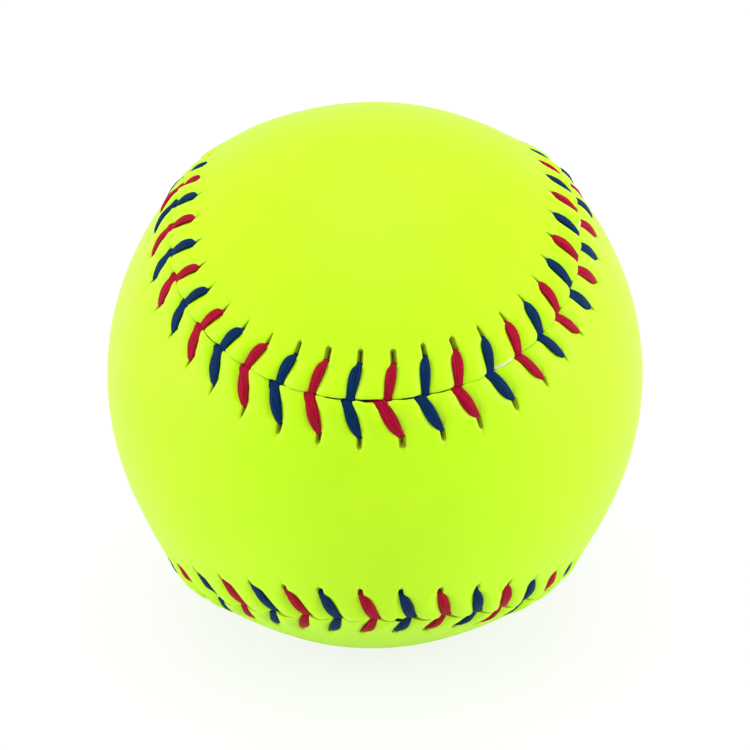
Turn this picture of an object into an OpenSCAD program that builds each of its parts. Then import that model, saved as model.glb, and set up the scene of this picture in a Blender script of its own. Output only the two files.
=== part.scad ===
// Softball, twelve inches round: a kapok core, wound with yarn and dipped in latex,
// inside a cover of two leather panels sewn together with red and blue thread.
// The origin is the ball's centre. -Y faces the middle of the front panel's waist,
// +Z points to the middle of the upper panel's upper end.

/* [Ball] */
// Diameter over the bare leather
ball_d = 97; // [90:0.5:104]

/* [Cover panels] */
// Thickness of the leather
leather_t = 1.4; // [1.1:0.05:1.8]
// Gap between the edges of the two panels
seam_gap = 0.8; // [0.7:0.05:1.1]
// Angle at the ball's centre from the middle of a panel's waist to the seam
waist_angle = 26.2; // [25:0.1:27.5]
// Angle at the ball's centre from the middle of a panel's round end to the seam
lobe_angle = 44.65; // [44:0.05:45.2]

/* [Stitch holes] */
// Number of stitch holes along each panel's edge
stitches = 88; // [80:4:96]
// Distance from the seam to where the thread comes up
hole_out = 5.2; // [4.6:0.1:6]
// Width of a slit
slit_w = 0.9; // [0.8:0.05:1.2]
// How far a slit runs on past the thread, away from the seam
slit_tail = 2.2; // [1.2:0.1:2.8]

/* [Thread] */
// Width of the thread where it lies flat on the leather
thread_w = 1.8; // [1.4:0.05:2.2]
// Thickness of the thread where it lies flat on the leather
thread_t = 0.7; // [0.5:0.05:0.9]
// Width of the thread under the leather and in the gap
tight_w = 0.95; // [0.8:0.05:1.05]
// How far the two threads cross the seam ahead of their holes
cross_lead = 1.9; // [1.5:0.1:2.3]
// Distance between the two threads where they cross the seam
cross_pitch = 1.5; // [1.4:0.05:1.8]

/* [Inside] */
// Thickness of the latex coat
latex_t = 1.5; // [1.3:0.1:2]
// Depth of the channel that the threads press into the latex coat
channel_depth = 0.8; // [0.75:0.05:1]
// Thickness of the yarn winding
winding_t = 7; // [3:0.5:12]

/* [Clearances] */
// Clearance round the thread
thread_gap = 0.12; // [0.1:0.01:0.16]
// Clearance between one layer and the next
layer_gap = 0.1; // [0.05:0.01:0.12]

/* [Hidden] */
$fn = 96;

// The layers, from the outside in
ball_r = ball_d / 2;
leather_in_r = ball_r - leather_t;
latex_r = leather_in_r - layer_gap;
channel_r = latex_r - channel_depth;
winding_r = latex_r - latex_t - layer_gap;
core_r = winding_r - winding_t - layer_gap;

// How deep and how far out the cutting solids reach, as shares of the ball's radius
cutter_in_share = 0.9;
cutter_out_share = 1.25;

// The seam on a ball of radius 1. A quarter of it is a round bend about bend_middle with
// a straight run at each end, which stops at run_end, half way round to the next bend.
bend_angle = waist_angle + lobe_angle;
bend_middle = [0, -cos(bend_angle), sin(bend_angle)];
bend_down = [0, -sin(bend_angle), -cos(bend_angle)];
run_end = [1, 0, 1] / sqrt(2);
run_swing = atan2(-sin(bend_angle) / sqrt(2), cos(bend_angle))
    - acos(sin(lobe_angle) / sqrt(1 - pow(sin(bend_angle), 2) / 2));
run_normal = cos(run_swing) * [0, -1, 0] + sin(run_swing) * [1, 0, -1] / sqrt(2);
run_start = (bend_middle - sin(lobe_angle) * run_normal) / cos(lobe_angle);
bend_turn = atan2(run_start.x, run_start * bend_down);
bend_length = bend_turn * sin(lobe_angle);
run_length = acos(run_start * run_end);
quarter = 2 * (bend_length + run_length);

// Stitch spacing: every hole is half a pitch on from a middle of the seam, so the
// two panels are cut alike
pitch = 4 * quarter * PI / 180 * ball_r / stitches;
half_steps = 2 * stitches;

// The thread's section, by its half sizes
flat_half_w = thread_w / 2;
flat_half_t = thread_t / 2;
tight_half_w = tight_w / 2;
squeezed_half_t = (seam_gap - 2 * thread_gap) / 2;
slit_half_w = slit_w / 2;
hole_half_w = slit_half_w - thread_gap;
// Heights of the thread's middle over the leather, at its bends and under the leather
over_h = thread_gap + flat_half_t;
bend_h = thread_gap + squeezed_half_t;
under_h = -leather_t - thread_gap - squeezed_half_t;
slit_near = tight_half_w + thread_gap;
cross_half = cross_pitch / 2;

// Places along a leg of thread, as shares of the distance from the hole to the seam,
// and of the thread's way under the leather
wide_far_share = 0.7;
wide_near_share = 0.3;
under_out_share = 0.67;
under_on_share = 0.34;
channel_out_share = 1.5;

// A length on the ball's surface as an angle at its centre
function angle_of(length) = length / ball_r * 180 / PI;

// One step of the seam's symmetry: a quarter turn about Y, with front and back swapped
function next_quarter(p, steps) =
    steps == 0 ? p : next_quarter([-p.z, -p.y, p.x], steps - 1);

// Place and direction at an angle s along the seam, from the middle of the front bend
// on the upper panel towards -X
function bend_place(w) = cos(lobe_angle) * bend_middle
    + sin(lobe_angle) * (cos(w) * bend_down - sin(w) * [1, 0, 0]);
function bend_heading(w) = -sin(w) * bend_down - cos(w) * [1, 0, 0];
function quarter_frame(v) =
    abs(v) <= bend_length
    ? [bend_place(v / sin(lobe_angle)), bend_heading(v / sin(lobe_angle))]
    : let (side = sign(v), d = side * (abs(v) - bend_length),
           p = bend_place(side * bend_turn), t = bend_heading(side * bend_turn))
      [cos(d) * p + sin(d) * t, cos(d) * t - sin(d) * p];
function seam_frame(s) =
    let (n = floor(s / quarter + 1 / 2), f = quarter_frame(s - n * quarter),
         steps = ((n % 4) + 4) % 4)
    [next_quarter(f[0], steps), next_quarter(f[1], steps)];

// Direction from the ball's centre to the point at u along the seam and n across it,
// positive towards the upper panel, both measured on the ball's surface
function direction(u, n) =
    let (f = seam_frame(angle_of(u)), inward = cross(f[1], f[0]))
    cos(angle_of(n)) * f[0] + sin(angle_of(n)) * inward;
function place(u, n, h) = (ball_r + h) * direction(u, n);

// A hollow ball with its poles at X and its start line through the front, which keeps
// both off the upper panel
module shell(out_r, in_r) {
    rotate(a = -120, v = [1, -1, 1]) difference() {
        sphere(r = out_r);
        sphere(r = in_r);
    }
}

// The core, the winding and the coat
module kapok_core() {
    color("wheat") sphere(r = core_r);
}

module yarn_winding() {
    color("ivory") shell(winding_r, core_r + layer_gap);
}

// A closed band along the seam, as wide as the threads run under the leather
module thread_band(half_w) {
    u = [for (i = [0 : half_steps - 1]) i * pitch / 2];
    points = [for (i = [0 : half_steps - 1], c = [0 : 3])
        direction(u[i], (c == 0 || c == 3 ? -1 : 1) * half_w)
            * ball_r * (c < 2 ? cutter_in_share : cutter_out_share)];
    faces = [for (i = [0 : half_steps - 1], c = [0 : 3], half = [0, 1])
        let (a = 4 * i + c, b = 4 * i + (c + 1) % 4,
             next_a = (a + 4) % (4 * half_steps), next_b = (b + 4) % (4 * half_steps))
        half == 0 ? [a, b, next_b] : [a, next_b, next_a]];
    polyhedron(points = points, faces = faces, convexity = 10);
}

module latex_coat() {
    color("khaki") difference() {
        shell(latex_r, winding_r + layer_gap);
        intersection() {
            shell(ball_r, channel_r);
            thread_band(hole_out * channel_out_share);
        }
    }
}

// Everything that one panel covers, as a cone from the ball's centre. Its rim follows
// the seam from end to end on both sides, with a ridge between the two.
module panel_cone() {
    out_r = ball_r * cutter_out_share;
    edge = seam_gap / 2;
    last = stitches;
    side = [for (i = [0 : last]) direction(i * pitch / 2, edge)];
    ridge = [for (p = side) [0, p.y, p.z] / norm([0, p.y, p.z])];
    points = concat([[0, 0, 0]], [for (p = side) out_r * p],
        [for (i = [1 : last - 1]) out_r * ridge[i]],
        [for (i = [1 : last - 1]) out_r * [-side[i].x, side[i].y, side[i].z]]);
    left = [for (i = [0 : last]) 1 + i];
    middle = [for (i = [0 : last]) i == 0 || i == last ? 1 + i : last + 1 + i];
    right = [for (i = [0 : last]) i == 0 || i == last ? 1 + i : 2 * last + i];
    faces = concat(
        [for (i = [0 : last - 1]) [0, left[i + 1], left[i]]],
        [for (i = [0 : last - 1]) [0, right[i], right[i + 1]]],
        [for (i = [0 : last - 2]) [left[i], left[i + 1], middle[i + 1]]],
        [for (i = [1 : last - 1]) [left[i], middle[i + 1], middle[i]]],
        [for (i = [0 : last - 2]) [right[i], middle[i + 1], right[i + 1]]],
        [for (i = [1 : last - 1]) [right[i], middle[i], middle[i + 1]]]);
    polyhedron(points = points, faces = faces, convexity = 10);
}

// One slit, square behind the thread and rounded at its tail
module slit(u) {
    f = seam_frame(angle_of(u));
    inward = cross(f[1], f[0]);
    out = angle_of(hole_out);
    radial = cos(out) * f[0] + sin(out) * inward;
    across = cos(out) * inward - sin(out) * f[0];
    start = (leather_in_r - leather_t) * radial;
    multmatrix([[across.x, f[1].x, radial.x, start.x],
                [across.y, f[1].y, radial.y, start.y],
                [across.z, f[1].z, radial.z, start.z]])
        linear_extrude(height = 3 * leather_t)
            polygon([[-slit_near, -slit_half_w], [slit_tail - slit_half_w, -slit_half_w],
                     [slit_tail, -slit_half_w / 2], [slit_tail, slit_half_w / 2],
                     [slit_tail - slit_half_w, slit_half_w], [-slit_near, slit_half_w]]);
}

// One leather panel, as it is sewn on the upper half
module cover_panel() {
    difference() {
        intersection() {
            shell(ball_r, leather_in_r);
            panel_cone();
        }
        for (i = [0 : stitches - 1])
            slit((i + 1 / 2) * pitch);
    }
}

module cover_panel_upper() {
    color("#CDF52A") cover_panel();
}

module cover_panel_front() {
    color("#C4EE22") rotate(a = 180, v = [1, 0, 1]) cover_panel();
}

// One ring of the thread's section, six points round a middle given by its place along
// the seam, across it and in height. a and b are half axes in the same three measures.
function ring(middle, a, b, side, shift) =
    [for (i = [0 : 5])
        let (w = 60 * ((i + shift) % 6), p = middle + sin(w) * a + side * cos(w) * b)
        place(p[0], side * p[1], p[2])];

// The rings of one leg: up through its hole at u, over the leather to the seam, down the
// gap and under the other panel
function leg_rings(u, side, shift) =
    let (cross_u = cross_lead - side * cross_half,
         slope = cross_u / hole_out,
         under_run = 2 * pitch - cross_u)
    [ring([u, hole_out, under_h], [0, tight_half_w, 0],
          [hole_half_w, 0, -squeezed_half_t], side, shift),
     ring([u, hole_out, bend_h], [0, squeezed_half_t, squeezed_half_t],
          [hole_half_w, 0, 0], side, shift),
     ring([u + cross_u * (1 - wide_far_share), hole_out * wide_far_share, over_h],
          [0, 0, flat_half_t], [flat_half_w, flat_half_w * slope, 0], side, shift),
     ring([u + cross_u * (1 - wide_near_share), hole_out * wide_near_share, over_h],
          [0, 0, flat_half_t], [flat_half_w, flat_half_w * slope, 0], side, shift),
     ring([u + cross_u, 0, bend_h], [0, -squeezed_half_t, squeezed_half_t],
          [tight_half_w, 0, 0], side, shift),
     ring([u + cross_u, 0, under_h], [0, -squeezed_half_t, squeezed_half_t],
          [tight_half_w, 0, 0], side, shift),
     ring([u + cross_u + under_run * under_on_share, -hole_out * under_out_share, under_h],
          [0, 0, squeezed_half_t], [tight_half_w * sin(45), tight_half_w * sin(45), 0],
          side, shift)];

// One thread, from end to end: it rises on one panel, crosses under the other and rises
// there two holes on, with both ends tucked under the leather
module thread(first, first_side) {
    legs = stitches / 2;
    all_rings = [for (m = [0 : legs - 1])
        let (side = m % 2 == 0 ? first_side : -first_side)
        each leg_rings((first + 2 * m + 1 / 2) * pitch, side, side > 0 ? 0 : 5)];
    rings = [for (i = [0 : len(all_rings) - 2]) all_rings[i]];
    count = len(rings);
    points = [for (r = rings) each r];
    sides = [for (i = [0 : count - 2], j = [0 : 5], half = [0, 1])
        let (a = 6 * i + j, b = 6 * i + (j + 1) % 6)
        half == 0 ? [a, b, b + 6] : [a, b + 6, a + 6]];
    end = 6 * (count - 1);
    caps = concat([for (j = [1 : 4]) [0, j + 1, j]],
        [for (j = [1 : 4]) [end, end + j, end + j + 1]]);
    polyhedron(points = points, faces = concat(sides, caps), convexity = 10);
}

module red_thread_1() {
    color("#B81A3E") thread(1, 1);
}

module red_thread_2() {
    color("#B81A3E") thread(1, -1);
}

module blue_thread_1() {
    color("#173A66") thread(0, 1);
}

module blue_thread_2() {
    color("#173A66") thread(0, -1);
}

kapok_core();
yarn_winding();
latex_coat();
cover_panel_upper();
cover_panel_front();
red_thread_1();
red_thread_2();
blue_thread_1();
blue_thread_2();
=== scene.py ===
import math

import bmesh
import bpy
import numpy as np
from mathutils import Matrix, Vector


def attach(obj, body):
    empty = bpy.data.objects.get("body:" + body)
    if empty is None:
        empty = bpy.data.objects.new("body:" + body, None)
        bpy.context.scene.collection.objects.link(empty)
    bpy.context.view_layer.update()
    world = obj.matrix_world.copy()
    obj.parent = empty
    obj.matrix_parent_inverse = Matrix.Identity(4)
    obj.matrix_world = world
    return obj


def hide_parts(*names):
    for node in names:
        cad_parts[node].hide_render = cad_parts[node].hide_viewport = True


# A twelve inch softball: two yellow leather panels, sewn together with red and blue thread
# over a wound core. Lengths are in mm, and turned to metres where a mesh is made.
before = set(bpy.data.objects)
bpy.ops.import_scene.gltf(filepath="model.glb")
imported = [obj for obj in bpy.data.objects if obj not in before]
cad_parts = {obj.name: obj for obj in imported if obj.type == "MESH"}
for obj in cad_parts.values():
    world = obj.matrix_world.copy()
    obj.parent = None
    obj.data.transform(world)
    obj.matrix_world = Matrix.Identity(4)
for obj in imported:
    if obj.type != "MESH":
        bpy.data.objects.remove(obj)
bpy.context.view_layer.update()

mm = 0.001
weld = 0.0005 * mm  # points closer than this become one
scene = bpy.context.scene

# Camera. The ball was photographed turned a little on its stand, so the camera goes round
# the ball instead.
view = {
    "distance": 475.8,  # from the camera to the ball's middle
    "lens": 127.4,
    "film": 36,  # its width
    "tilt": 31.27,  # degrees down on to the ball
    "turn": -0.78,  # degrees
    "roll": 0.54,  # degrees
    "aside": 0.0,  # that the camera stands to the right of the ball's middle
    "below": 0.25,  # that it stands below it
    "sees": (10, 20000),  # nearest and furthest
}


def placeCamera():
    ballTurn = (
        Matrix.Rotation(math.radians(view["roll"]), 3, "Z")
        @ Matrix.Rotation(math.radians(view["turn"]), 3, "Y")
        @ Matrix.Rotation(math.radians(view["tilt"]), 3, "X")
    )
    back = ballTurn.transposed()
    stand = Vector((view["aside"], -view["distance"], -view["below"])) * mm
    looking = Matrix(((1, 0, 0), (0, 0, -1), (0, 1, 0)))
    data = bpy.data.cameras.new("camera")
    data.sensor_width = view["film"]
    data.lens = view["lens"]
    data.clip_start, data.clip_end = (reach * mm for reach in view["sees"])
    camera = bpy.data.objects.new("camera", data)
    camera.matrix_world = (back @ looking).to_4x4()
    camera.location = back @ stand
    scene.collection.objects.link(camera)
    scene.camera = camera
    print("camera", view["distance"], "mm from the ball's middle")


placeCamera()


# Finishes
def toLinear(code):
    # an sRGB colour code as linear red, green and blue, with a full alpha
    parts = [int(code[i:i + 2], 16) / 255 for i in (1, 3, 5)]
    return [c / 12.92 if c <= 0.04045 else ((c + 0.055) / 1.055) ** 2.4 for c in parts] + [1]


def addNode(tree, kind, settings=None, links=None):
    node = tree.nodes.new(kind)
    for name, value in (settings or {}).items():
        if isinstance(name, int) or name in node.inputs:
            node.inputs[name].default_value = value
        else:
            setattr(node, name, value)
    for name, socket in (links or {}).items():
        tree.links.new(socket, node.inputs[name])
    return node


def newMaterial(name, settings):
    material = bpy.data.materials.new(name)
    material.use_nodes = True
    tree = material.node_tree
    shader = tree.nodes["Principled BSDF"]
    for socket, value in settings.items():
        shader.inputs[socket].default_value = value
    return material, tree, shader


def colourBlend(tree, factor, low, high):
    # two colours mixed by a factor, each a code or another node's colour
    node = addNode(tree, "ShaderNodeMix", {"data_type": "RGBA"})
    for socket in node.inputs:
        colour = low if socket.name == "A" else high
        if socket.type == "RGBA" and isinstance(colour, str):
            socket.default_value = toLinear(colour)
        elif socket.type == "RGBA":
            tree.links.new(colour, socket)
    tree.links.new(factor, node.inputs[0])
    return node.outputs[2]


leatherFinish = {
    "colour": "#C4F80C",
    "deep": "#BAF206",  # where the dye went in deeper
    "worn": "#E4E3C2",  # undyed hide, where a cut edge shows in the seam
    "clouding": 14,  # size of the patches where the dye took differently
    "grain": 0.45,  # between pores, drawn about three times too coarse so that they show
    "crease": 1.35,  # between the creases of the grain, coarser in the same measure
    "grainDepth": 0.012,
    "grainStrength": 0.5,
    "roughness": 0.46,
}


def makeLeather():
    # dyed cowhide: corrected grain under a thin optic yellow finish, so the eye sees an
    # even bright skin with a soft gloss and pores only from close by
    material, tree, shader = newMaterial("dyed cowhide", {
        "Roughness": leatherFinish["roughness"],
        "IOR": 1.48,
        "Specular IOR Level": 0.26,
        "Sheen Weight": 0.05,
        "Sheen Roughness": 0.4,
    })
    spot = addNode(tree, "ShaderNodeTexCoord").outputs["Object"]
    clouds = addNode(tree, "ShaderNodeTexNoise", {
        "Scale": 1 / (leatherFinish["clouding"] * mm), "Detail": 2, "Roughness": 0.5}, {"Vector": spot})
    colour = colourBlend(tree, clouds.outputs["Fac"], leatherFinish["deep"], leatherFinish["colour"])
    worn = addNode(tree, "ShaderNodeAttribute", {"attribute_name": "worn"})
    colour = colourBlend(tree, worn.outputs["Fac"], colour, leatherFinish["worn"])
    tree.links.new(colour, shader.inputs["Base Color"])
    pores = addNode(tree, "ShaderNodeTexVoronoi", {
        "Scale": 1 / (leatherFinish["grain"] * mm), "Randomness": 1}, {"Vector": spot})
    creases = addNode(tree, "ShaderNodeTexNoise", {
        "Scale": 1 / (leatherFinish["crease"] * mm), "Detail": 3}, {"Vector": spot})
    height = addNode(tree, "ShaderNodeMath", {"operation": "ADD"},
                     {0: pores.outputs["Distance"], 1: creases.outputs["Fac"]})
    bump = addNode(tree, "ShaderNodeBump", {
        "Strength": leatherFinish["grainStrength"], "Distance": leatherFinish["grainDepth"] * mm},
        {"Height": height.outputs[0]})
    tree.links.new(bump.outputs["Normal"], shader.inputs["Normal"])
    return material


threadFinish = {
    "red": ("#40030A", "#BC1233"),  # painted shade in the grooves between the plies and darker fibre streaks, and the dye on top of the plies
    "blue": ("#030E22", "#033463"),
    "fibre": 0.16,  # across a bundle of fibres, as single ones are too fine to show
    "streaks": 0.35,  # streaks in each mm of length
    "grooveShade": 0.65,  # how much the painted shade in the ply grooves counts in the tone, against 1 for the fibres
    "toneRange": (0.45, 1.25),  # tones that give the first and the second colour
    "fibreDepth": 0.05,
    "fibreStrength": 0.6,
    "roughness": 0.5,
}


def makeThread(dye):
    # waxed polyester of several plies: fibres run lengthwise under wax, which gives a low sheen; the
    # grooves between the plies are darkened with painted shade
    low, high = threadFinish[dye]
    material, tree, shader = newMaterial("waxed polyester thread " + dye, {
        "Roughness": threadFinish["roughness"],
        "IOR": 1.5,
        "Specular IOR Level": 0.06,
    })
    length = addNode(tree, "ShaderNodeUVMap", {"uv_map": "along"}).outputs["UV"]
    stretch = addNode(tree, "ShaderNodeMapping", None, {"Vector": length})
    stretch.inputs["Scale"].default_value = (threadFinish["streaks"], 1 / threadFinish["fibre"], 1)
    fibres = addNode(tree, "ShaderNodeTexNoise", {"Scale": 1, "Detail": 3, "Roughness": 0.6},
                     {"Vector": stretch.outputs["Vector"]})
    # painted shade: this attribute is low in the grooves between the plies and darkens the colour there
    plyShade = addNode(tree, "ShaderNodeAttribute", {"attribute_name": "plyShade"})
    shadeAndStreaks = addNode(tree, "ShaderNodeMath", {"operation": "MULTIPLY_ADD", 1: threadFinish["grooveShade"]},
                   {0: plyShade.outputs["Fac"], 2: fibres.outputs["Fac"]})
    faded = addNode(tree, "ShaderNodeMapRange", {
        "From Min": threadFinish["toneRange"][0], "From Max": threadFinish["toneRange"][1]},
        {"Value": shadeAndStreaks.outputs[0]})
    tree.links.new(colourBlend(tree, faded.outputs["Result"], low, high), shader.inputs["Base Color"])
    bump = addNode(tree, "ShaderNodeBump", {
        "Strength": threadFinish["fibreStrength"], "Distance": threadFinish["fibreDepth"] * mm},
        {"Height": fibres.outputs["Fac"]})
    tree.links.new(bump.outputs["Normal"], shader.inputs["Normal"])
    return material


# What shows only in the slits or once the ball is cut open: two colours that mix in
# tufts of a size, how rough it is and how deep its tufts are. The tufts of the hide are
# drawn coarser than real ones, so that they show.
innerFinishes = {
    # the hide's own fibre, dyed right through and matt, so a slit glows olive inside
    "cut leather edge": {
        "colours": ("#A8B818", "#C6D22C"), "tuft": 0.3, "roughness": 0.85, "ior": 1.45, "depth": 0},
    # the napped side of the hide, glued down on the coat: dull, with no gloss at all
    "flesh side suede": {
        "colours": ("#A6A832", "#C8C84C"), "tuft": 0.6, "roughness": 0.9, "ior": 1.45, "depth": 0},
    # seed fibre pressed hard: straw brown and dull, with loose tufts
    "pressed kapok fibre": {
        "colours": ("#B99C6B", "#DCC79A"), "tuft": 1.2, "roughness": 0.95, "ior": 1.5, "depth": 0.1},
    # undyed yarn wound in all directions: off-white and fuzzy
    "wound cotton yarn": {
        "colours": ("#CFC8B4", "#F1ECDD"), "tuft": 0.8, "roughness": 0.9, "ior": 1.5, "depth": 0.1},
    # dipped and dried: a thin lumpy skin with a faint shine
    "dried latex coat": {
        "colours": ("#BEB840", "#DAD45E"), "tuft": 2.0, "roughness": 0.6, "ior": 1.5, "depth": 0.1},
}


def makeInner(name):
    finish = innerFinishes[name]
    material, tree, shader = newMaterial(name, {"Roughness": finish["roughness"], "IOR": finish["ior"]})
    spot = addNode(tree, "ShaderNodeTexCoord").outputs["Object"]
    tufts = addNode(tree, "ShaderNodeTexNoise", {"Scale": 1 / (finish["tuft"] * mm), "Detail": 4},
                    {"Vector": spot})
    colour = colourBlend(tree, tufts.outputs["Fac"], *finish["colours"])
    tree.links.new(colour, shader.inputs["Base Color"])
    if finish["depth"] > 0:
        bump = addNode(tree, "ShaderNodeBump", {"Strength": 0.5, "Distance": finish["depth"] * mm},
                       {"Height": tufts.outputs["Fac"]})
        tree.links.new(bump.outputs["Normal"], shader.inputs["Normal"])
    return material


hide = [makeLeather(), makeInner("cut leather edge"), makeInner("flesh side suede")]
dyes = {"red": makeThread("red"), "blue": makeThread("blue")}
insides = {
    "kapok_core": makeInner("pressed kapok fibre"),
    "yarn_winding": makeInner("wound cotton yarn"),
    "latex_coat": makeInner("dried latex coat"),
}
print("finishes", len(hide) + len(dyes) + len(insides), "materials")


def smoothStep(x, low, high):
    # 0 up to low, 1 from high on, with a smooth rise between
    t = np.clip((x - low) / (high - low), 0, 1)
    return t * t * (3 - 2 * t)


def hump(x, reach, steep=2):
    # 1 in the middle, falling to nothing either side, faster beyond its reach if steeper
    return np.exp(-np.abs(x / reach) ** steep)


# The seam: the edge line of both panels, on a ball of radius 1. It is a round bend about
# each panel's round end with a straight run between, four times alike.
ball = {
    "radius": 48.5,  # a 12 inch ball
    "waistAngle": 26.2,  # degrees from the middle of a waist to the seam
    "lobeAngle": 44.65,  # degrees, the radius of a round end
    "stitches": 88,
    "leather": 1.4,  # how thick it is
}
ballR = ball["radius"]
lobe = math.radians(ball["lobeAngle"])
bendAngle = math.radians(ball["waistAngle"] + ball["lobeAngle"])
bendMiddle = np.array([0, -math.cos(bendAngle), math.sin(bendAngle)])
bendDown = np.array([0, -math.sin(bendAngle), -math.cos(bendAngle)])
sideways = np.array([1.0, 0, 0])
runEnd = np.array([1, 0, 1]) / math.sqrt(2)
runSwing = (math.atan2(-math.sin(bendAngle) / math.sqrt(2), math.cos(bendAngle))
            - math.acos(math.sin(lobe) / math.sqrt(1 - math.sin(bendAngle) ** 2 / 2)))
runNormal = (math.cos(runSwing) * np.array([0, -1.0, 0])
             + math.sin(runSwing) * np.array([1, 0, -1]) / math.sqrt(2))
runStart = (bendMiddle - math.sin(lobe) * runNormal) / math.cos(lobe)
bendTurn = math.atan2(runStart[0], runStart @ bendDown)
bendLength = bendTurn * math.sin(lobe)
quarter = 2 * (bendLength + math.acos(runStart @ runEnd))
pitch = 4 * quarter * ballR / ball["stitches"]


def seamFrame(u):
    # places on the seam and its heading there, for distances along it. The quarter in front
    # is worked out, and each step on to the next is a quarter turn with front and back swapped.
    s = np.asarray(u, float) / ballR
    turns = np.floor(s / quarter + 0.5)
    v = s - turns * quarter
    bent = np.clip(v, -bendLength, bendLength)
    w = (bent / math.sin(lobe))[..., None]
    place = math.cos(lobe) * bendMiddle + math.sin(lobe) * (np.cos(w) * bendDown - np.sin(w) * sideways)
    heading = -np.sin(w) * bendDown - np.cos(w) * sideways
    d = (v - bent)[..., None]
    place, heading = np.cos(d) * place + np.sin(d) * heading, np.cos(d) * heading - np.sin(d) * place
    flip = np.array([-1, -1, 1])
    for step in range(3):
        more = (turns % 4 > step)[..., None]
        place = np.where(more, place[..., [2, 1, 0]] * flip, place)
        heading = np.where(more, heading[..., [2, 1, 0]] * flip, heading)
    return place, heading


def localAxes(u, n):
    # outward, along the seam and across it, at u along and n across
    place, heading = seamFrame(u)
    inward = np.cross(heading, place)
    a = (np.asarray(n, float) / ballR)[..., None]
    return np.cos(a) * place + np.sin(a) * inward, heading, np.cos(a) * inward - np.sin(a) * place


# The ball isn't quite round: a little narrower from side to side, and fuller below the
# front and at the left shoulder
shape = {
    "narrower": 0.75,
    "fuller": (  # heading of the middle, how much there, and its reach in degrees
        ((-0.29, -0.59, -0.753), 0.55, 38),
        ((-0.47, 0.47, 0.747), 0.6, 13),
    ),
    "evenBelow": (0.8, 0.97),  # shares of the radius down, where this fades so that it rests level
}


def radiusAt(out):
    radius = ballR - shape["narrower"] * out[..., 0] ** 2
    for heading, most, reach in shape["fuller"]:
        away = np.degrees(np.arccos(np.clip(out @ np.array(heading), -1, 1)))
        radius = radius + most * hump(away, reach) * (1 - smoothStep(-out[..., 2], *shape["evenBelow"]))
    return radius


# Stitches, numbered along the seam from the middle of the bend above the front. A side is
# 1 for the upper panel and -1 for the front one.
stitch = {
    "holeOut": {1: 5.5, -1: 6.15},  # from the seam to the thread in its hole
    "bend": 0.8,  # over which the thread turns down into it
    "foot": {1: 1.75, -1: 2.15},  # how far along the seam a leg's foot lies from its hole
    "slitNear": 0.5,  # from the hole to the slit's end that the thread pulls on
    "slitFar": 2.35,  # from the hole to its tail
    "slitHalf": {1: 0.6, -1: 0.5},  # half its width
    "slitRound": 0.4,  # over which its ends are rounded
    "slitEnd": 0.2,  # share of the width at its very ends
    "closed": 0.5,  # share of the width where the leather has drawn together
    "gapes": (4, 3),  # stitches from a bend where slits gape, and how sharply that ends
    "wallIn": 0.9,  # how far a slit's walls lean in, as a share of its half width
    "endIn": 0.5,  # how far the wall at its tail leans in
    "endFrom": 1.5,  # from the hole, where that wall begins
    "tail": {1: 0.95, -1: 0.75},  # length of a slit's tail as a share
    "tailShort": {1: 0.45, -1: 0.4},  # how much of it is lost between the bends
    "tailShortens": (2, 8),  # stitches from a bend over which it is lost
    "tailLeast": 0.2,
    "tailPinch": 0.85,  # share of the width that a drawn slit loses at its tail
}
# How far chance takes each of these either way, in mm or as a share
varies = {
    "hole": 0.12,
    "foot": 0.25,
    "width": 0.07,
    "press": 0.15,
    "out": 0.15,
    "tail": 0.1,
    "gape": 0.12,
}
# Places where the hand stitching strays: stitch number, how many stitches either side,
# and how much at the middle, in mm or as a share
stray = {
    # the seam runs towards the upper panel
    "sway": ((-9, 6, 0.45), (1, 2.2, -0.15), (6, 2.5, 0.25), (10.8, 1.6, 1.3),
             (41.5, 5, -1.2), (48.5, 2.5, 1.1), (44, 7, 0.35)),
    # the panels' edges part
    "gap": ((-1, 1.2, 0.24),),
    # the upper panel's edge stands higher than the front one's
    "step": ((-9.5, 3.5, 0.45),),
    # the leather beside the seam lies lower
    "sunk": ((13.5, 2, 0.5), (-15.5, 2, 0.4), (-12.6, 1.2, 0.35), (36.5, 1.5, -0.4)),
    # legs lie deeper
    "upperSunk": ((13.2, 1, 0.3),),
    "frontSunk": ((11, 1.7, -0.35), (-14.2, 0.8, -0.5), (-12, 0.6, -0.35)),
    # the end of a leg at the seam sinks into it
    "frontBuried": ((37.3, 0.8, 0.65),),
    # an edge loses its rounding, as a share
    "flush": ((42, 7, 0.75),),
    # undyed hide shows at the edge, as a share
    "upperWorn": ((-4.05, 0.38, 1.2), (-9.98, 0.16, 1.0)),
    "frontWorn": ((39.5, 0.12, 0.9), (40.5, 0.1, 0.7), (42.6, 0.12, 0.9)),
    # upper legs have the shape of their two sides swapped, as a share
    "turned": ((-9, 6.5, 1.15),),
    # holes slide along the seam
    "upperHole": ((1.7, 1.9, 0.6), (-2, 1.5, -0.2), (42, 1.5, -0.5)),
    "frontHole": ((-1, 3.5, -0.35), (-10.3, 3.2, 1.8), (-5, 1, -0.7), (39.7, 2.2, 0.9)),
    # holes lie further from it
    "upperOut": ((-0.5, 3, 0.4), (-2, 0.7, 0.35), (4.6, 2.4, -0.85),
                 (11, 1.2, -1.1), (-8, 1.5, 0.5), (46, 0.7, -0.7)),
    "frontOut": ((6, 1.5, -0.7), (10.5, 1.8, -0.5), (42, 5, 0.6)),
    # legs have their foot further along
    "upperFoot": ((0, 3.5, -0.5), (41, 2.2, 1.0)),
    "frontFoot": ((-1.1, 0.9, 1.0), (2, 2, 0.45)),
    # legs are wider, as a share, or wider at their foot alone
    "upperWidth": ((-9, 4, 0.15),),
    "frontWidth": ((-6, 1.5, -0.3), (-10, 2, 0.15)),
    "upperWedge": ((6.5, 4, 0.8),),
    # slits have a longer tail, as a share
    "upperTail": ((43, 5, -0.8),),
    "frontTail": ((42, 5, -0.25),),
}
sideName = {1: "upper", -1: "front"}
total = ball["stitches"]
stations = np.arange(total)
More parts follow.
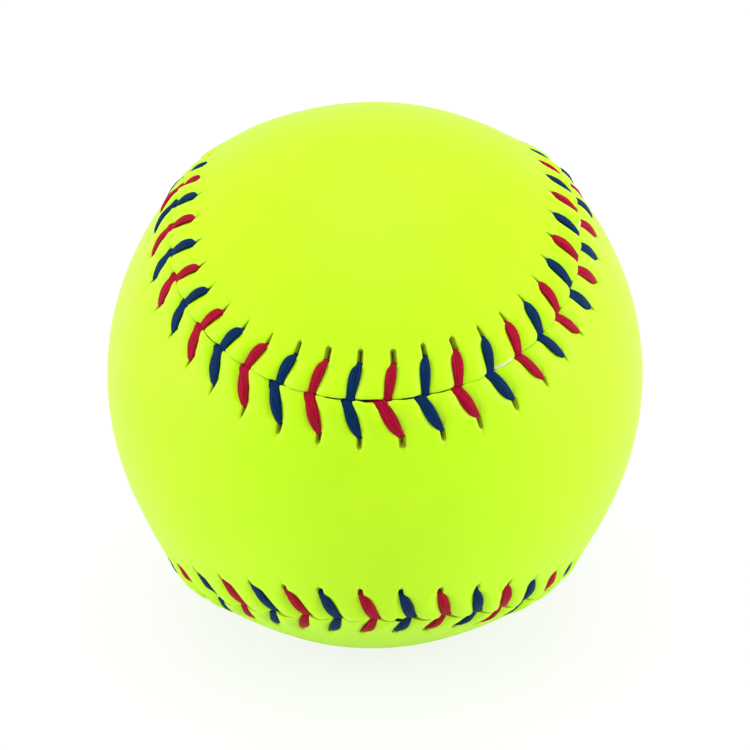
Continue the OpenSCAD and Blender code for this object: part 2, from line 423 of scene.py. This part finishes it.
chance = np.random.default_rng(41)


def strayed(name, k):
    amount = np.zeros(np.shape(k))
    for at, reach, most in stray[name]:
        away = (np.asarray(k) - at + total / 2) % total - total / 2
        amount = amount + most * hump(away, reach)
    return amount


def stitchAt(u):
    # the number of the stitch at a distance along the seam, whole where its hole is
    return u / pitch - 0.5


def sway(u):
    # how far the seam runs towards the upper panel from its even line
    return strayed("sway", stitchAt(u))


def fromBend(k):
    # stitches counted from the middle of the nearest bend, by where they cross the seam,
    # which is half a stitch on from their hole
    perQuarter = total / 4
    return (np.asarray(k) + 1 + perQuarter / 2) % perQuarter - perQuarter / 2


def drawnOpen(k):
    # slits gape round each bend and draw together between
    return stitch["closed"] + (1 - stitch["closed"]) * hump(fromBend(k), *stitch["gapes"])


def scatter(most):
    return most * chance.uniform(-1, 1, total)


vary = {side: {
    "hole": scatter(varies["hole"]),
    "foot": stitch["foot"][side] + scatter(varies["foot"]),
    "width": 1 + scatter(varies["width"]),
    "press": 1 + scatter(varies["press"]),
    "open": chance.uniform(0, 1, total),
    "twist": chance.uniform(0, 2 * math.pi, total),
    "puff": scatter(1),
    "out": stitch["holeOut"][side] + scatter(varies["out"]),
    "tail": stitch["tail"][side] + scatter(varies["tail"]),
} for side in (1, -1)}
gape = {side: drawnOpen(stations) * (1 + scatter(varies["gape"])) for side in (1, -1)}
for side, called in sideName.items():
    own = vary[side]
    own["slide"] = strayed(called + "Hole", stations)
    own["out"] += strayed(called + "Out", stations)
    own["foot"] += strayed(called + "Foot", stations)
    own["width"] += strayed(called + "Width", stations)
    short = stitch["tailShort"][side] * smoothStep(np.abs(fromBend(stations)), *stitch["tailShortens"])
    longer = strayed(called + "Tail", stations)
    own["tail"] = np.maximum(own["tail"] + longer - short, stitch["tailLeast"])


def holePlace(k, side):
    return (k + 0.5) * pitch + vary[side]["hole"][k % total] + vary[side]["slide"][k % total]


def footPlace(k, side):
    return holePlace(k, side) + vary[side]["foot"][k % total]


print("seam", total, "stitches,", round(pitch, 2), "mm apart")


# Leather panels. After a height, its wide or long is how far it reaches from its middle,
# along the seam for puff, press, parted, loose and lip, and across it for the others.
relief = {
    "swell": 0.85,  # that the leather stands up about the seam
    "swellWide": 12,
    "ridge": 0.5,  # more close beside it
    "ridgeWide": 4.5,
    "sunkWide": 9,  # where it lies lower
    "puff": 0.3,  # that it bulges between the legs
    "puffVaries": 0.5,  # share
    "puffWide": 1.5,
    "puffAt": 2.2,  # from the seam
    "puffLong": 3,
    "press": 0.85,  # that a leg of thread sinks in
    "pressWide": 1.2,
    "pressSteep": 2.4,
    "pressEnds": (-1.6, 0.6),  # from the hole outwards, where it eases
    "pressEased": 0.8,  # share
    "pressFades": (6.5, 10),  # from the seam, where the rest of it goes
    "edgeRound": 0.6,  # from the edge, over which it is rounded off
    "edgeDrop": 0.24,  # that it falls there
    "edgeBack": 0.004,  # that an edge keeps from the middle of the seam
    "parted": 0.2,  # half the gap between the panels where threads go down
    "partedWide": 0.8,
    "loose": 0.1,  # half the gap between threads, where it is loosest
    "looseOn": 2.4,  # from the threads on to the middle of that gap
    "looseWide": 1.4,
    "flatTop": 4,  # how sharply both gaps end
    "step": 0.07,  # that the upper panel's edge lies higher
    "stepWide": 1.2,
    "strayStepWide": 3,
    "lip": 0.1,  # raised rim of a slit
    "lipAt": 1.05,  # from the middle of the slit
    "lipWide": 0.45,
    "lipFrom": (-0.9, -0.3),  # from the hole, where it begins and where it ends
    "lipTo": (1.7, 2.6),
    "cutDrop": 0.12,  # that the cut edge itself lies lower
}


def edgePlace(u):
    # how far a panel's edge stays back from the middle of the seam
    k = np.floor(u / pitch).astype(int)
    back = np.full(np.shape(u), relief["edgeBack"])
    for step in (-2, -1, 0):
        feet = [footPlace(k + step, side) for side in (1, -1)]
        for foot in feet:
            parted = hump(u - foot, relief["partedWide"], relief["flatTop"])
            back = np.maximum(back, relief["parted"] * parted)
        i = (k + step) % total
        loose = relief["loose"] * vary[1]["open"][i] ** 4 + strayed("gap", i)
        on = u - sum(feet) / 2 - relief["looseOn"]
        back = back + loose * hump(on, relief["looseWide"], relief["flatTop"])
    return back


def leatherHeight(u, n, side):
    # height of the leather over the plain ball, n counted from the seam
    k = np.floor(u / pitch).astype(int)
    own = vary[side]
    pressed = np.zeros(np.broadcast(u, n).shape)
    puffed = np.zeros(pressed.shape)
    for step in (-2, -1, 0, 1):
        i = (k + step) % total
        outAt = own["out"][i]
        line = holePlace(k + step, side) + own["foot"][i] * np.clip(1 - n / outAt, 0, 1)
        away = u - line
        deep = 1 - relief["pressEased"] * smoothStep(n - outAt, *relief["pressEnds"])
        deep = deep * own["press"][i]
        pressed = np.maximum(pressed, deep * hump(away, relief["pressWide"], relief["pressSteep"]))
        full = 1 + relief["puffVaries"] * own["puff"][i]
        puffed = np.maximum(puffed, full * hump(away - pitch / 2, relief["puffWide"]))
    depth = relief["press"] * (1 - smoothStep(n, *relief["pressFades"]))
    raised = relief["puff"] * puffed * hump(n - relief["puffAt"], relief["puffLong"])
    raised = raised - strayed("sunk", stitchAt(u)) * hump(n, relief["sunkWide"])
    if side > 0:
        raised = raised + relief["step"] * hump(n, relief["stepWide"])
        raised = raised + strayed("step", stitchAt(u)) * hump(n, relief["strayStepWide"])
    return (relief["swell"] * hump(n, relief["swellWide"])
            + relief["ridge"] * hump(n, relief["ridgeWide"]) + raised - depth * pressed)


# Lines of a panel's mesh. Columns run from the seam inwards, and rings follow the seam.
panelGrid = {
    "columns": (0.62, 0.75, 1.0, 1.3, 1.65, 2.05, 2.5),  # either side of a hole
    "edgeRings": (0, 0.05, 0.15, 0.32, 0.6, 1.0, 1.6, 2.3, 3.1, 3.9, 4.6),  # from the edge
    "slitRings": (-0.5, -0.43, -0.25, 0.2, 0.9, 1.5, 2.0, 2.26, 2.35),  # from the thread's hole
    "outRings": (2.85, 3.6, 4.7, 6.3, 8.5, 11.5),  # from there too
    "inRings": 8,  # from there to the panel's middle line
    "inBunched": 0.25,  # share by which they crowd towards the seam
    "medialStart": 60,  # degrees up from the front where a panel's middle line starts
    "followSlit": (0.75, 1.3),  # from a hole, between following its slit and keeping even
    "followMiddle": 0.9,  # from the hole outwards to the middle of that
    "followEnds": (2.0, 3.2),  # from that middle
    "evenFrom": (2.6, 6.0),  # from the hole, where holes no longer pull on the columns
    "evenAfter": 1.2,  # past a slit's end, where columns are even
    "edgeFree": 0.6,  # from the edge and from the hole, where rings don't shift
    "edgeBackOver": 2,  # from the edge, over which rings follow it
    "swayFades": (8, 20),  # from the edge
    "wornFades": (0.3, 0.6),  # from the edge
}


def slitShape(n):
    # the slit's width as a share of its widest, with n from the thread's hole, and past
    # its ends the even spacing of the columns
    middle = (stitch["slitFar"] - stitch["slitNear"]) / 2
    reach = (stitch["slitFar"] + stitch["slitNear"]) / 2
    curve = stitch["slitRound"]
    past = np.clip(np.abs(n - middle) - (reach - curve), 0, curve) / curve
    wide = np.maximum(np.sqrt(1 - past ** 2), stitch["slitEnd"])
    away = np.clip(np.abs(n - middle) - reach, 0, None)
    return wide + (1 - stitch["slitEnd"]) * smoothStep(away, 0, panelGrid["evenAfter"])


def shapePanel(sheet, side):
    # a flat grid with its points moved on to the ball. Each point also keeps its place on the
    # flesh side and how bare it is. Returns the faces that lie inside the slits.
    offsets = [-x for x in reversed(panelGrid["columns"])] + list(panelGrid["columns"]) + [pitch / 2]
    firstColumn = panelGrid["columns"][0]
    perPitch = len(offsets)
    columns = perPitch * total
    holeOut = stitch["holeOut"][side]
    firstRings = np.array(panelGrid["edgeRings"]
                          + tuple(holeOut + x for x in panelGrid["slitRings"] + panelGrid["outRings"]))
    lastRing = len(firstRings) - 1
    slitFirst = len(panelGrid["edgeRings"])
    slitLast = slitFirst + len(panelGrid["slitRings"]) - 1
    rows = lastRing + panelGrid["inRings"]

    bmesh.ops.create_grid(sheet, x_segments=columns, y_segments=rows, size=0.5)
    flat = np.array([v.co[:2] for v in sheet.verts])
    columnOf = np.rint((flat[:, 0] + 0.5) * columns).astype(int)
    column = columnOf % columns
    row = np.rint((flat[:, 1] + 0.5) * rows).astype(int)
    station = column // perPitch
    offset = np.array(offsets)[column % perPitch]
    ring = firstRings[np.minimum(row, lastRing)]
    fromHole = ring - holeOut

    # along: columns close in to each slit's own width and follow its hole
    nearHole = np.cos(math.pi * np.clip(offset / pitch, -0.5, 0.5)) ** 2
    near, far = panelGrid["followSlit"]
    beside = np.clip((far - np.abs(offset)) / (far - near), 0, 1)
    drawn = np.clip((1 - gape[side][station]) / (1 - stitch["closed"]), 0, 1)
    tapered = 1 - stitch["tailPinch"] * drawn * np.clip(fromHole / stitch["slitFar"], 0, 1)
    wide = slitShape(fromHole) * gape[side][station] * tapered * stitch["slitHalf"][side] / firstColumn
    fromMiddle = np.abs(fromHole - panelGrid["followMiddle"])
    squeeze = (wide - 1) * beside * (1 - smoothStep(fromMiddle, *panelGrid["followEnds"]))
    calm = smoothStep(fromHole, *panelGrid["evenFrom"])
    plainU = (station + 0.5) * pitch + offset
    slide = strayed(sideName[side] + "Hole", stitchAt(plainU))
    u = plainU + (slide + vary[side]["hole"][station] * nearHole + offset * squeeze) * (1 - calm)

    # across: rings shift to each slit's own place and length
    free = panelGrid["edgeFree"]
    shift = (vary[side]["out"][station] - holeOut) * smoothStep(ring, free, holeOut - free)
    shift = shift + np.clip(fromHole, 0, stitch["slitFar"]) * (vary[side]["tail"][station] - 1)
    back = edgePlace(u) * np.clip(1 - ring / panelGrid["edgeBackOver"], 0, 1)
    n = ring + shift * nearHole * (1 - calm) + back
    drop = relief["edgeDrop"] * np.clip(1 - ring / relief["edgeRound"], 0, 1) ** 2
    drop = drop * (1 - strayed("flush", stitchAt(u)))
    height = leatherHeight(u, n, side) - drop
    atSlit = smoothStep(fromHole, *relief["lipFrom"]) * (1 - smoothStep(fromHole, *relief["lipTo"]))
    cutEdge = (np.abs(offset) <= firstColumn) * (row >= slitFirst) * (row <= slitLast)
    lip = hump(np.abs(offset) - relief["lipAt"], relief["lipWide"]) * atSlit
    height = height + relief["lip"] * lip - relief["cutDrop"] * cutEdge
    swayed = sway(u) * (1 - smoothStep(ring, *panelGrid["swayFades"]))
    out = localAxes(u, side * n + swayed)[0]

    # from the last ring inwards the columns run straight to the middle line
    lengthwise = 2 if side > 0 else 0
    angle = np.degrees(np.arctan2(out[:, lengthwise], -side * out[:, 1])) % 360
    angle = np.radians(np.clip(angle, panelGrid["medialStart"], 360 - panelGrid["medialStart"]))
    medial = np.zeros_like(out)
    medial[:, 1] = -side * np.cos(angle)
    medial[:, lengthwise] = np.sin(angle)
    share = np.clip((row - lastRing) / panelGrid["inRings"], 0, 1)
    bunched = panelGrid["inBunched"]
    share = (share * (1 - bunched) + bunched * share ** 2)[:, None]
    between = np.arccos(np.clip((out * medial).sum(1), -1, 1))[:, None]
    between = np.maximum(between, 1e-9)  # never quite nothing, to divide by
    out = (np.sin((1 - share) * between) * out + np.sin(share * between) * medial) / np.sin(between)
    height = height * (1 - share[:, 0]) ** 2
    points = out * (radiusAt(out) + height)[:, None] * mm

    # the flesh side: a leather's thickness in, with each slit's walls leaning together
    endWall = stitch["endIn"] * smoothStep(fromHole, stitch["endFrom"], stitch["slitFar"])
    leaned = localAxes(u - offset * wide * stitch["wallIn"] * cutEdge, side * (n - endWall) + sway(u))[0]
    under = np.where(cutEdge[:, None], leaned, out)
    reach = np.maximum(radiusAt(out) + height, ballR) - ball["leather"]
    bare = np.clip(strayed(sideName[side] + "Worn", stitchAt(u)), 0, 1)
    bare = bare * (1 - smoothStep(ring, *panelGrid["wornFades"]))
    inside = sheet.verts.layers.float_vector.new("inside")
    worn = sheet.verts.layers.float.new("worn")
    for vertex, point, inner, paleness in zip(sheet.verts, points, under * reach[:, None] * mm, bare):
        vertex.co = point
        vertex[inside] = inner
        vertex[worn] = paleness
    holes = []
    for face in sheet.faces:
        ids = [v.index for v in face.verts]
        leftColumn = min(columnOf[i] for i in ids) % perPitch
        firstRow = min(row[i] for i in ids)
        if leftColumn == len(panelGrid["columns"]) - 1 and slitFirst <= firstRow < slitLast:
            holes.append(face)
    return holes


def makePanel(name, side, materials):
    # slits cut out, the panel's own ends joined and its faces turned outwards
    sheet = bmesh.new()
    holes = shapePanel(sheet, side)
    bmesh.ops.delete(sheet, geom=holes, context="FACES")
    bmesh.ops.remove_doubles(sheet, verts=sheet.verts, dist=weld)
    sheet.normal_update()
    if sum(f.normal.dot(f.calc_center_median()) for f in sheet.faces) < 0:
        bmesh.ops.reverse_faces(sheet, faces=sheet.faces)

    # thickness: a second skin, and the first one drawn in to the flesh side
    inside = sheet.verts.layers.float_vector["inside"]
    inner = list(sheet.verts)
    innerFaces = set(sheet.faces)
    made = bmesh.ops.extrude_face_region(sheet, geom=sheet.faces[:], use_keep_orig=True)["geom"]
    outerFaces = {g for g in made if isinstance(g, bmesh.types.BMFace)}
    faceCount = len(sheet.faces)

    def order(face):
        # the walls between the two come in any order, so they are put last, by their place
        if face in outerFaces or face in innerFaces:
            return face.index
        x, y, z = face.calc_center_median()
        return faceCount + x + y / 3 + z / 7

    sheet.faces.index_update()
    sheet.faces.sort(key=order)
    for vertex in inner:
        vertex.co = vertex[inside]
    sheet.verts.layers.float_vector.remove(inside)
    for face in sheet.faces:
        face.smooth = True
        face.material_index = 0 if face in outerFaces else 2 if face in innerFaces else 1
    for edge in sheet.edges:
        edge.smooth = len({f.material_index for f in edge.link_faces}) == 1
    return finishPiece(name, sheet, materials)


def finishPiece(name, sheet, materials):
    mesh = bpy.data.meshes.new(name)
    sheet.to_mesh(mesh)
    sheet.free()
    for material in materials:
        mesh.materials.append(material)
    piece = bpy.data.objects.new(name, mesh)
    scene.collection.objects.link(piece)
    print(name, len(mesh.polygons), "faces")
    return piece


# Threads. Each leg comes up through its hole, lies over the leather to the seam, goes down
# between the panels and runs under the other one to its next hole.
thread = {
    "around": 36,  # faces round a section
    "squareness": (0.9, 0.85),  # of a section across and through, where 1 is an ellipse
    "girth": 4.2,  # round a section, for the fibres
    "plies": 4,
    "plyDepth": 0.11,
    "plySharp": 0.6,
    "plyFrom": 0.27,  # half thickness from which plies show
    "twist": 2.2,  # radians that they turn in a leg
    "underside": 0.85,  # share of the thickness on the side that lies on the leather
    # shares of the way from the hole to the seam, and half widths there towards the
    # foot's side and away from it, for a leg on the upper and on the front panel
    "shares": (0, 0.05, 0.1, 0.16, 0.25, 0.36, 0.5, 0.62, 0.75, 0.85, 0.9, 0.94, 1),
    "footSide": {
        1: (0.45, 0.62, 0.82, 1.02, 1.2, 1.28, 1.24, 1.13, 0.97, 0.84, 0.76, 0.7, 0.62),
        -1: (0.45, 0.56, 0.68, 0.82, 0.97, 1.08, 1.12, 1.06, 0.98, 0.94, 1.02, 1.3, 1.95),
    },
    "farSide": {
        1: (0.4, 0.4, 0.42, 0.45, 0.52, 0.57, 0.59, 0.58, 0.58, 0.6, 0.62, 0.66, 0.72),
        -1: (0.42, 0.5, 0.6, 0.7, 0.84, 0.95, 1.05, 1.08, 1.08, 1.02, 0.96, 0.9, 0.8),
    },
    "wedgeFrom": (0.6, 0.92),  # shares of the way where the stray wedge widens a leg
    # in its hole, by half width and half thickness. A level is a height over the plain ball.
    "holeHalf": 0.36,
    "holeThick": 0.24,
    "holeLevel": -1.1,
    "holeDown": (0.95, 0.55),  # below the leather
    # over the bend, in degrees turned since the hole
    "bendSteps": (15, 40, 65, 85),
    "bendBase": 0.5,  # below the leather
    "bendRise": 0.72,
    "bendThick": (0.26, 0.08),  # half thickness at the hole, and what the bend adds
    # on the leather
    "lyingSteps": (0.2, 0.27, 0.35, 0.43, 0.51, 0.6, 0.68, 0.76, 0.83),
    "halfThick": 0.52,
    "thinEnds": 0.64,  # share of it at the ends
    "archEnd": 0.9,  # share of the way
    "lift": (0.55, 0.4),  # shares of its half thickness that it lies over the leather, and arches
    "buriedFrom": (0.4, 0.7),  # shares of the way
    # over the panel's edge, in degrees still to turn
    "footSteps": (80, 50, 25, 5),
    "footRound": 0.4,
    "footThick": 0.22,
    "footSwell": 0.1,
    # down between the panels
    "gapOut": 0.12,  # from the middle of the seam
    "gapDown": 1.3,  # below the panel's edge
    "gapHalf": 0.6,
    "gapThick": 0.18,
    "gapLevel": -1.2,
    # under the leather to the next hole
    "under": -1.9,
    "tight": (0.42, 0.42, 0.2),  # half widths and half thickness
    "crossing": {1: 1.15, -1: 2.65},  # from the middle of a stitch to where its leg crosses
    "underSteps": (0.2, 0.4, 0.7),
    "underHaste": 1.7,  # how much sooner it gets across than along
    "underTurn": 0.5,
}


def legRings(k, side):
    # rows of along, across, height, turn of the section, half widths and half thickness
    hole = holePlace(k, side)
    index = k % total
    foot = vary[side]["foot"][index]
    wide = vary[side]["width"][index]
    out = vary[side]["out"][index]
    lean = math.atan2(side * foot, out)
    turned = min(1, float(strayed("turned", k))) if side > 0 else 0
    wedge = float(strayed("upperWedge", k)) if side > 0 else 0
    buried = float(strayed("frontBuried", k)) if side < 0 else 0

    def across(share):
        plus = np.interp(share, thread["shares"], thread["footSide"][side]) * wide
        minus = np.interp(share, thread["shares"], thread["farSide"][side]) * wide
        minus = minus * (1 + wedge * smoothStep(share, *thread["wedgeFrom"]))
        return plus + (minus - plus) * turned, minus + (plus - minus) * turned

    def heightAt(u, n):
        return float(leatherHeight(np.array(u), np.array(n), side))

    # up through the hole
    rings = []
    bend = stitch["bend"]
    near = out - bend
    top = heightAt(hole, near)
    levels = [thread["under"], thread["holeLevel"]] + [top - down for down in thread["holeDown"]]
    for h in levels:
        rings.append((hole, out, h, lean, thread["holeHalf"], thread["holeHalf"], thread["holeThick"]))

    # over the bend
    base, more = thread["bendThick"]
    for a in thread["bendSteps"]:
        a = math.radians(a)
        n = near + bend * math.cos(a)
        share = 1 - n / out
        h = top - thread["bendBase"] + thread["bendRise"] * math.sin(a)
        rings.append((hole + foot * share, n, h, lean, *across(share), base + more * math.sin(a)))

    # along the leather
    low, high = thread["lift"]
    for share in thread["lyingSteps"]:
        n = out * (1 - share)
        u = hole + foot * share
        arch = math.sin(math.pi * min(1, share / thread["archEnd"]))
        thick = thread["halfThick"] * (thread["thinEnds"] + (1 - thread["thinEnds"]) * arch)
        h = heightAt(u, n) + thick * (low + high * arch)
        h = h - buried * smoothStep(share, *thread["buriedFrom"])
        rings.append((u, n, h, lean, *across(share), thick))

    # over the panel's edge
    curve = thread["footRound"]
    over = curve + thread["footThick"]
    edge = float(edgePlace(np.array(hole + foot))) + curve
    rim = heightAt(hole + foot, edge) - buried
    for a in thread["footSteps"]:
        turning = lean * (a - thread["footSteps"][-1]) / 90
        a = math.radians(a)
        n = edge - over * math.cos(a)
        h = rim - curve + over * math.sin(a)
        share = min(1, 1 - n / out)
        thick = thread["footThick"] + thread["footSwell"] * math.sin(a)
        rings.append((hole + foot * share, n, h, turning, *across(share), thick))

    # down between the panels and under the other one
    cross = (k + 0.5) * pitch + thread["crossing"][side]
    rings.append(((hole + foot + cross) / 2, thread["gapOut"], rim - thread["gapDown"], lean / 2,
                  thread["gapHalf"], thread["gapHalf"], thread["gapThick"]))
    for level in (thread["gapLevel"], thread["under"]):
        rings.append((cross, 0, level, 0, *thread["tight"]))
    run = 2 * pitch - thread["crossing"][side]
    for part in thread["underSteps"]:
        n = -out * min(1, part * thread["underHaste"])
        rings.append((cross + run * part, n, thread["under"], side * thread["underTurn"], *thread["tight"]))
    sunk = float(strayed(sideName[side] + "Sunk", k))
    return [(u, side * n + float(sway(u)), h - sunk, turn, plus, minus, thick, side)
            for u, n, h, turn, plus, minus, thick in rings]


def makeThreadPiece(name, first, firstSide, material):
    rings = []
    twists = []
    for leg in range(total // 2):
        side = firstSide if leg % 2 == 0 else -firstSide
        k = first + 2 * leg
        more = legRings(k, side)
        rings += more
        start = vary[side]["twist"][k % total]
        twists += list(start + np.linspace(0, thread["twist"], len(more)))
    rings = np.array(rings[:-1])
    twists = np.array(twists[:-1])
    u, n, h, turn, plus, minus, thick, outerSide = rings.T
    out, along, over = localAxes(u, n)
    centre = out * (radiusAt(out) + h)[:, None]
    across = np.cos(turn)[:, None] * along + np.sin(turn)[:, None] * over
    path = np.gradient(centre, axis=0)
    path /= np.linalg.norm(path, axis=1)[:, None]
    up = np.cross(across, path)
    up /= np.linalg.norm(up, axis=1)[:, None]
    across = np.cross(path, up)

    # a tube of that many sections, squared a little, with grooves between the plies on the
    # side that shows, which fade out towards its edges
    around = thread["around"]
    count = len(u)
    sheet = bmesh.new()
    bmesh.ops.create_grid(sheet, x_segments=count - 1, y_segments=around, size=0.5)
    flat = np.array([v.co[:2] for v in sheet.verts])
    ring = np.rint((flat[:, 0] + 0.5) * (count - 1)).astype(int)
    spoke = np.rint((flat[:, 1] + 0.5) * around).astype(int)
    w = 2 * math.pi * (spoke % around) / around
    c, s = np.cos(w), np.sin(w)
    x = np.sign(c) * np.abs(c) ** thread["squareness"][0]
    z = np.sign(s) * np.abs(s) ** thread["squareness"][1]
    x = np.where(x > 0, x * plus[ring], x * minus[ring])
    outer = z * outerSide[ring] > 0
    full = (plus + minus)[ring]
    middle = (plus - minus)[ring] / 2
    plies = np.abs(np.cos(math.pi * thread["plies"] * (x - middle) / full + twists[ring]))
    plies = plies ** thread["plySharp"]
    z = z * thick[ring] * np.where(outer, 1, thread["underside"])
    groove = thread["plyDepth"] * (1 - plies) * np.abs(s) ** 0.5 * (thick[ring] > thread["plyFrom"])
    z = z - outer * outerSide[ring] * groove
    points = (centre[ring] + x[:, None] * across[ring] + z[:, None] * up[ring]) * mm
    # how near each point lies to a ply's top; the thread's finish uses it to paint shade into the grooves
    plyShadeLayer = sheet.verts.layers.float.new("plyShade")
    for vertex, point, plyShade in zip(sheet.verts, points, plies):
        vertex.co = point
        vertex[plyShadeLayer] = plyShade
    uvs = sheet.loops.layers.uv.new("along")
    travelled = np.concatenate([[0], np.cumsum(np.linalg.norm(np.diff(centre, axis=0), axis=1))])
    for face in sheet.faces:
        for loop in face.loops:
            i = loop.vert.index
            loop[uvs].uv = (travelled[ring[i]], thread["girth"] * spoke[i] / around)
    bmesh.ops.remove_doubles(sheet, verts=sheet.verts, dist=weld)
    bmesh.ops.holes_fill(sheet, edges=[e for e in sheet.edges if e.is_boundary], sides=0)
    bmesh.ops.recalc_face_normals(sheet, faces=sheet.faces)
    for face in sheet.faces:
        face.smooth = True
    return finishPiece(name, sheet, [material])


for name, side, node in (("upper_panel", 1, "cover_panel_upper"), ("front_panel", -1, "cover_panel_front")):
    panel = makePanel(name, side, hide)
    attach(panel, "root")
    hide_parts(node)

for dye, first in (("red", 1), ("blue", 0)):
    for number, firstSide in ((1, 1), (2, -1)):
        piece = makeThreadPiece(f"{dye}_lacing_{number}", first, firstSide, dyes[dye])
        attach(piece, "root")
        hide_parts(f"{dye}_thread_{number}")

# One end of blue thread stands out of the seam below
looseEnd = {
    "stitch": 44,
    "on": 1.5,  # past the stitch's hole
    "route": ((0, -1.2), (-0.2, -0.3), (-0.6, 0.1), (-1.1, 0.3), (-1.6, 0.3), (-1.9, 0.15)),  # along, up
    "drift": 0.35,  # across the seam for each mm along
    "down": 0.3,  # from the top of the seam's ridge
    "thick": 0.25,
    "frayed": 1.7,  # how many times thicker its tip is
    "frayedFrom": 1.5,
}


def makeLooseEnd(material):
    start = (looseEnd["stitch"] + 0.5) * pitch + looseEnd["on"]
    curve = bpy.data.curves.new("loose_end", "CURVE")
    curve.dimensions = "3D"
    curve.bevel_depth = looseEnd["thick"] * mm
    curve.bevel_resolution = 5
    curve.use_fill_caps = True
    spline = curve.splines.new("NURBS")
    spline.points.add(len(looseEnd["route"]) - 1)
    for point, (onward, up) in zip(spline.points, looseEnd["route"]):
        u = np.array(start + onward)
        out = localAxes(u, sway(u) + looseEnd["drift"] * onward)[0]
        high = relief["swell"] + relief["ridge"] - looseEnd["down"] + up
        point.co = (*(out * (radiusAt(out) + high) * mm), 1)
        point.radius = 1 if onward > -looseEnd["frayedFrom"] else looseEnd["frayed"]
    spline.use_endpoint_u = True
    spline.order_u = 4
    curve.materials.append(material)
    end = bpy.data.objects.new("blue_loose_end", curve)
    scene.collection.objects.link(end)
    print(end.name, len(looseEnd["route"]), "points")
    return end


tuft = makeLooseEnd(dyes["blue"])
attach(tuft, "root")

for node, material in insides.items():
    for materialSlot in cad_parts[node].material_slots:
        materialSlot.material = material


# Studio: white floor and surround, big soft lamps
studio = {
    "fill": (0.14, 0.8),  # strength of the surround, low in front and high behind
    "fillFrom": (0, 0.7, 0.7),  # heading of the high one
    "fillRange": (-0.35, 0.7),  # how near to that heading each of the two is reached
    "floorSize": 6,  # m
    "paper": (0.88, 0.98),  # white of the floor for light and for the camera
    "shadow": 0.2,  # how much of the floor's own shading shows
    "shadowReach": (0.25, 0.6),  # m from the ball over which it fades to plain white
    "lamps": {  # name: place and size in m, and power in W; each looks at the ball
        "overhead": ((0.0, 0.1, 1.3), 1.2, 7.5),
        "left": ((-1.25, -0.25, 0.35), 0.9, 9.5),
        "right": ((1.25, -0.25, 0.35), 0.9, 10),
        "front": ((0.0, -0.95, 1.25), 1.1, 4.2),
    },
    "notMirrored": "front",  # this lamp gives the leather no glare
}


def makeSurround():
    world = bpy.data.worlds.new("white surround")
    world.use_nodes = True
    tree = world.node_tree
    tree.nodes.clear()
    rays = addNode(tree, "ShaderNodeLightPath")
    heading = addNode(tree, "ShaderNodeVectorMath", {"operation": "DOT_PRODUCT", 1: studio["fillFrom"]},
                      {0: addNode(tree, "ShaderNodeTexCoord").outputs["Generated"]})
    surround = addNode(tree, "ShaderNodeMapRange", {
        "From Min": studio["fillRange"][0], "From Max": studio["fillRange"][1],
        "To Min": studio["fill"][0], "To Max": studio["fill"][1]}, {"Value": heading.outputs["Value"]})
    strength = addNode(tree, "ShaderNodeMath", {"operation": "MAXIMUM"}, {
        0: surround.outputs["Result"], 1: rays.outputs["Is Camera Ray"]})
    light = addNode(tree, "ShaderNodeBackground", {"Color": (1, 1, 1, 1)},
                    {"Strength": strength.outputs[0]})
    addNode(tree, "ShaderNodeOutputWorld", None, {"Surface": light.outputs[0]})
    scene.world = world


def makeFloor():
    # white paper that keeps the ball's shadow and fades to plain white away from it
    material = bpy.data.materials.new("white paper floor")
    material.use_nodes = True
    tree = material.node_tree
    tree.nodes.clear()
    rays = addNode(tree, "ShaderNodeLightPath")
    bright = addNode(tree, "ShaderNodeMapRange", {
        "To Min": studio["paper"][0], "To Max": studio["paper"][1]},
        {"Value": rays.outputs["Is Camera Ray"]})
    paper = addNode(tree, "ShaderNodeBsdfDiffuse", None, {"Color": bright.outputs["Result"]})
    white = addNode(tree, "ShaderNodeEmission", {"Color": (1, 1, 1, 1), "Strength": 1.0})
    away = addNode(tree, "ShaderNodeVectorMath", {"operation": "LENGTH"},
                   {0: addNode(tree, "ShaderNodeTexCoord").outputs["Object"]})
    plain = addNode(tree, "ShaderNodeMapRange", {
        "From Min": studio["shadowReach"][0], "From Max": studio["shadowReach"][1],
        "To Min": 1 - studio["shadow"], "To Max": 1.0}, {"Value": away.outputs["Value"]})
    amount = addNode(tree, "ShaderNodeMath", {"operation": "MULTIPLY"},
                     {0: rays.outputs["Is Camera Ray"], 1: plain.outputs["Result"]})
    mix = addNode(tree, "ShaderNodeMixShader", None,
                  {0: amount.outputs[0], 1: paper.outputs[0], 2: white.outputs[0]})
    addNode(tree, "ShaderNodeOutputMaterial", None, {"Surface": mix.outputs[0]})
    sheet = bmesh.new()
    bmesh.ops.create_grid(sheet, x_segments=1, y_segments=1, size=studio["floorSize"] / 2)
    bmesh.ops.translate(sheet, verts=sheet.verts, vec=(0, 0, -ballR * mm))
    floor = finishPiece("floor", sheet, [material])


def placeLamps():
    for name, (place, size, power) in studio["lamps"].items():
        data = bpy.data.lights.new(name, "AREA")
        data.size = size
        data.energy = power
        lamp = bpy.data.objects.new(name, data)
        lamp.location = place
        lamp.rotation_euler = (-Vector(place)).to_track_quat("-Z", "Y").to_euler()
        lamp.visible_camera = False
        lamp.visible_glossy = name != studio["notMirrored"]
        scene.collection.objects.link(lamp)
    print("studio", len(studio["lamps"]), "lamps")


makeSurround()
makeFloor()
placeLamps()
scene.view_settings.view_transform = "Standard"
